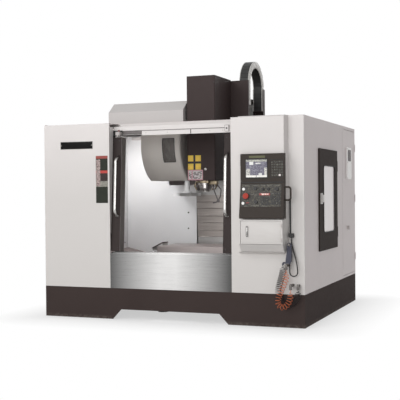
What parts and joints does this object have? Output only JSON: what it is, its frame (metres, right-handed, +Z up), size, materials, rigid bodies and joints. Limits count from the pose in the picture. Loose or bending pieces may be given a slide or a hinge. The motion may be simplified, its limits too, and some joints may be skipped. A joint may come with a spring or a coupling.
{
  "type": "cnc machining center",
  "caption": "Enclosed vertical machining centre with sliding front doors, tool magazine with change arm, moving head, saddle and table, operator box and hanging air gun.",
  "frame": {"origin": "middle of the footprint on the floor", "axes": "+X to the operator's right, +Y to the back, +Z up"},
  "size_m": [3.1104, 2.898, 3.0409],
  "materials": {
    "light_paint": "textured light grey enamel",
    "dark_paint": "textured dark brown-grey enamel",
    "grey_paint": "semi-gloss grey enamel",
    "cast_paint": "filled and painted casting",
    "stainless": "brushed stainless sheet",
    "machined_steel": "ground steel",
    "bright_handle": "polished tube",
    "clear_glass": "laminated window",
    "display": "flat display with keys",
    "black_plastic": "moulded black",
    "white_plastic": "moulded white cap",
    "red_plastic": "moulded red mushroom",
    "black_rubber": "hose rubber",
    "blue_grey_plastic": "moulded gun body",
    "orange_plastic": "curly polyurethane hose",
    "motor_black": "black motor enamel"
  },
  "bodies": {
    "root": {"air_gun": "blue_grey_plastic", "axis_drives": "machined_steel", "base_skirt": "dark_paint", "bed_casting": "cast_paint", "black_hose": "black_rubber", "cable_chain": "black_plastic", "cable_guide": "dark_paint", "chip_pan": "grey_paint", "column_casting": "cast_paint", "console_module": "light_paint", "coolant_tank": "grey_paint", "dark_coil_hose": "black_rubber", "hose_fittings": "machined_steel", "interior_liner": "light_paint", "left_front_panel": "light_paint", "levelling_feet": "machined_steel", "magazine_cover": "grey_paint", "magazine_roof_cover": "light_paint", "orange_coil_hose": "orange_plastic", "right_front_panel": "light_paint", "side_and_rear_panels": "light_paint", "sill_cover": "stainless", "storage_box": "light_paint", "tool_changer_base": "cast_paint", "top_beam": "light_paint"},
    "saddle": {"saddle_casting": "cast_paint"},
    "table": {"work_table": "machined_steel"},
    "head": {"head_casting": "cast_paint", "head_cover": "dark_paint", "spindle_cartridge": "machined_steel", "spindle_motor": "motor_black", "coolant_nozzles": "machined_steel"},
    "spindle": {"spindle_shaft": "machined_steel"},
    "cover_plate_1": {"column_cover_plate_1": "stainless"},
    "cover_plate_2": {"column_cover_plate_2": "stainless"},
    "cover_plate_3": {"column_cover_plate_3": "stainless"},
    "magazine": {"tool_disc": "machined_steel"},
    "pot": {"station_pot": "black_plastic"},
    "arm_shaft_body": {"arm_shaft": "machined_steel"},
    "arm": {"change_arm": "machined_steel"},
    "left_door_body": {"left_door": "dark_paint", "left_door_window": "clear_glass", "left_door_handle": "bright_handle"},
    "right_door_body": {"right_door": "dark_paint", "right_door_window": "clear_glass", "right_door_handle": "bright_handle"},
    "side_door_body": {"side_door": "dark_paint", "side_door_window": "clear_glass"},
    "cabinet_door_body": {"cabinet_door": "light_paint"},
    "switch_body": {"main_switch": "black_plastic"},
    "operator_body": {"operator_box": "dark_paint", "operator_screen": "display"},
    "stop_body": {"emergency_stop": "red_plastic"},
    "upper_button_body": {"upper_push_button": "white_plastic"},
    "lower_button_body": {"lower_push_button": "white_plastic"},
    "knob_body_1": {"rotary_knob_1": "black_plastic"},
    "knob_body_2": {"rotary_knob_2": "black_plastic"},
    "knob_body_3": {"rotary_knob_3": "black_plastic"},
    "storage_door_body": {"storage_door": "light_paint"},
    "trigger_body": {"gun_trigger": "machined_steel"}
  },
  "joints": [
    {"name": "saddle_y", "type": "slide", "parent": "root", "child": "saddle", "axis": [0, 1, 0], "range_m": [-0.3, 0.3]},
    {"name": "table_x", "type": "slide", "parent": "saddle", "child": "table", "axis": [1, 0, 0], "range_m": [-0.64, 0.46]},
    {"name": "head_z", "type": "slide", "parent": "root", "child": "head", "axis": [0, 0, 1], "range_m": [-0.483, 0.117], "deforming": ["cable_chain"]},
    {"name": "spindle_turn", "type": "hinge", "parent": "head", "child": "spindle", "pos_m": [0.02485, -0.20098, 1.6], "axis": [0, 0, 1], "continuous": true},
    {"name": "magazine_turn", "type": "hinge", "parent": "root", "child": "magazine", "pos_m": [-0.51515, 0.06802, 1.99], "axis": [1, 0, 0], "continuous": true},
    {"name": "pot_drop", "type": "hinge", "parent": "magazine", "child": "pot", "pos_m": [-0.56715, 0.06802, 1.66], "axis": [0, -1, 0], "range_deg": [0, 90]},
    {"name": "arm_lift", "type": "slide", "parent": "root", "child": "arm_shaft_body", "axis": [0, 0, 1], "range_m": [0, 0.12]},
    {"name": "arm_swing", "type": "hinge", "parent": "arm_shaft_body", "child": "arm", "pos_m": [-0.27115, -0.06648, 1.365], "axis": [0, 0, 1], "range_deg": [0, 245.56]},
    {"name": "left_door_slide", "type": "slide", "parent": "root", "child": "left_door_body", "axis": [1, 0, 0], "range_m": [0, 0.611]},
    {"name": "right_door_slide", "type": "slide", "parent": "root", "child": "right_door_body", "axis": [-1, 0, 0], "range_m": [0, 0.611]},
    {"name": "side_door_hinge", "type": "hinge", "parent": "root", "child": "side_door_body", "pos_m": [1.52315, 0.20702, 1.3], "axis": [0, 0, 1], "range_deg": [0, 110]},
    {"name": "cabinet_door_hinge", "type": "hinge", "parent": "root", "child": "cabinet_door_body", "pos_m": [1.51915, 1.24102, 1.3], "axis": [0, 0, 1], "range_deg": [0, 110]},
    {"name": "main_switch_turn", "type": "hinge", "parent": "cabinet_door_body", "child": "switch_body", "pos_m": [1.51485, 0.79902, 0.956], "axis": [1, 0, 0], "range_deg": [0, 90]},
    {"name": "operator_box_swing", "type": "hinge", "parent": "root", "child": "operator_body", "pos_m": [0.86785, -1.35328, 1.4], "axis": [0, 0, -1], "range_deg": [0, 60]},
    {"name": "emergency_stop_press", "type": "slide", "parent": "operator_body", "child": "stop_body", "axis": [0, 0.987, -0.1609], "range_m": [0, 0.008]},
    {"name": "upper_button_press", "type": "slide", "parent": "operator_body", "child": "upper_button_body", "axis": [0, 0.987, -0.1609], "range_m": [0, 0.004], "stiffness_N_per_m": 800},
    {"name": "lower_button_press", "type": "slide", "parent": "operator_body", "child": "lower_button_body", "axis": [0, 0.987, -0.1609], "range_m": [0, 0.004], "stiffness_N_per_m": 800},
    {"name": "knob_1_turn", "type": "hinge", "parent": "operator_body", "child": "knob_body_1", "pos_m": [1.03985, -1.4006, 1.446], "axis": [0, -0.987, 0.1609], "range_deg": [-135, 135]},
    {"name": "knob_2_turn", "type": "hinge", "parent": "operator_body", "child": "knob_body_2", "pos_m": [1.27285, -1.40158, 1.44], "axis": [0, -0.987, 0.1609], "range_deg": [-135, 135]},
    {"name": "knob_3_turn", "type": "hinge", "parent": "operator_body", "child": "knob_body_3", "pos_m": [1.05285, -1.42359, 1.305], "axis": [0, -0.987, 0.1609], "range_deg": [-60, 60]},
    {"name": "storage_door_hinge", "type": "hinge", "parent": "root", "child": "storage_door_body", "pos_m": [1.31955, -1.43098, 1], "axis": [0, 0, 1], "range_deg": [0, 100]},
    {"name": "trigger_squeeze", "type": "hinge", "parent": "root", "child": "trigger_body", "pos_m": [1.34485, -1.32098, 0.795], "axis": [0, -1, 0], "range_deg": [0, 6], "stiffness_Nm_per_rad": 2},
    {"name": "cover_plate_1_slide", "type": "slide", "parent": "root", "child": "cover_plate_1", "axis": [0, 0, 1], "range_m": [-0.36225, 0.08775]},
    {"name": "cover_plate_2_slide", "type": "slide", "parent": "root", "child": "cover_plate_2", "axis": [0, 0, 1], "range_m": [-0.2415, 0.0585]},
    {"name": "cover_plate_3_slide", "type": "slide", "parent": "root", "child": "cover_plate_3", "axis": [0, 0, 1], "range_m": [-0.12075, 0.02925]}
  ],
  "couplings": [
    {"joint": "cover_plate_1_slide", "follows": "head_z", "ratio": 0.75},
    {"joint": "cover_plate_2_slide", "follows": "head_z", "ratio": 0.5},
    {"joint": "cover_plate_3_slide", "follows": "head_z", "ratio": 0.25}
  ]
}
